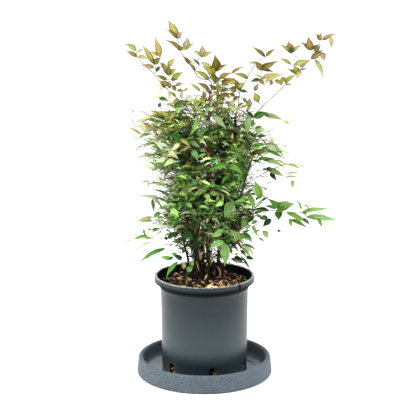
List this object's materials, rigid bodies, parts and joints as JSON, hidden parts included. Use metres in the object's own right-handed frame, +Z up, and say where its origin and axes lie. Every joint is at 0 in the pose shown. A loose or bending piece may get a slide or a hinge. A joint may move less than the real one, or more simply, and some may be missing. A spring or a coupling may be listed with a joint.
{
  "type": "potted heavenly bamboo shrub",
  "caption": "Bushy evergreen shrub of slender upright canes and airy, bronze-tipped compound fronds, in a round dark grey nursery pot on a deep grey saucer.",
  "frame": {"origin": "centre of the saucer's flat underside", "axes": "+Z up, -Y towards the viewer of the picture, +X to that viewer's right"},
  "size_m": [0.6554, 0.5141, 1.064],
  "materials": {
    "pot_plastic": "satin",
    "saucer_plastic": "matte, finely speckled",
    "potting_mix": "rough, moist",
    "cane_bark": "rough",
    "leaf_stalk": "smooth",
    "foliage": "leathery satin"
  },
  "bodies": {
    "root": {"back_low_foliage": "foliage", "back_right_foliage": "foliage", "back_top_foliage": "foliage", "bough_back_low": "leaf_stalk", "bough_back_right": "leaf_stalk", "bough_back_top": "leaf_stalk", "bough_front_low": "leaf_stalk", "bough_front_middle": "leaf_stalk", "bough_left_drooping": "leaf_stalk", "bough_left_low": "leaf_stalk", "bough_left_upper": "leaf_stalk", "bough_left_wing": "leaf_stalk", "bough_right_low": "leaf_stalk", "bough_right_middle": "leaf_stalk", "bough_right_top": "leaf_stalk", "bough_right_upper": "leaf_stalk", "bough_right_wing": "leaf_stalk", "bough_top_left": "leaf_stalk", "bough_top_middle": "leaf_stalk", "cane_back": "cane_bark", "cane_back_left": "cane_bark", "cane_back_right": "cane_bark", "cane_far_right": "cane_bark", "cane_front": "cane_bark", "cane_front_left": "cane_bark", "cane_left": "cane_bark", "cane_low_left": "cane_bark", "cane_middle": "cane_bark", "cane_right": "cane_bark", "front_low_foliage": "foliage", "front_middle_foliage": "foliage", "high_left_foliage": "foliage", "high_right_foliage": "foliage", "left_drooping_foliage": "foliage", "left_low_foliage": "foliage", "left_upper_foliage": "foliage", "left_wing_foliage": "foliage", "lower_back_foliage": "foliage", "lower_front_foliage": "foliage", "lower_left_foliage": "foliage", "lower_right_foliage": "foliage", "middle_back_foliage": "foliage", "middle_front_foliage": "foliage", "middle_left_foliage": "foliage", "middle_right_foliage": "foliage", "pot": "pot_plastic", "potting_mix": "potting_mix", "right_low_foliage": "foliage", "right_middle_foliage": "foliage", "right_top_foliage": "foliage", "right_upper_foliage": "foliage", "right_wing_foliage": "foliage", "saucer": "saucer_plastic", "top_left_foliage": "foliage", "top_middle_foliage": "foliage", "upper_back_foliage": "foliage", "upper_front_foliage": "foliage", "upper_left_foliage": "foliage", "upper_right_foliage": "foliage"}
  },
  "joints": []
}
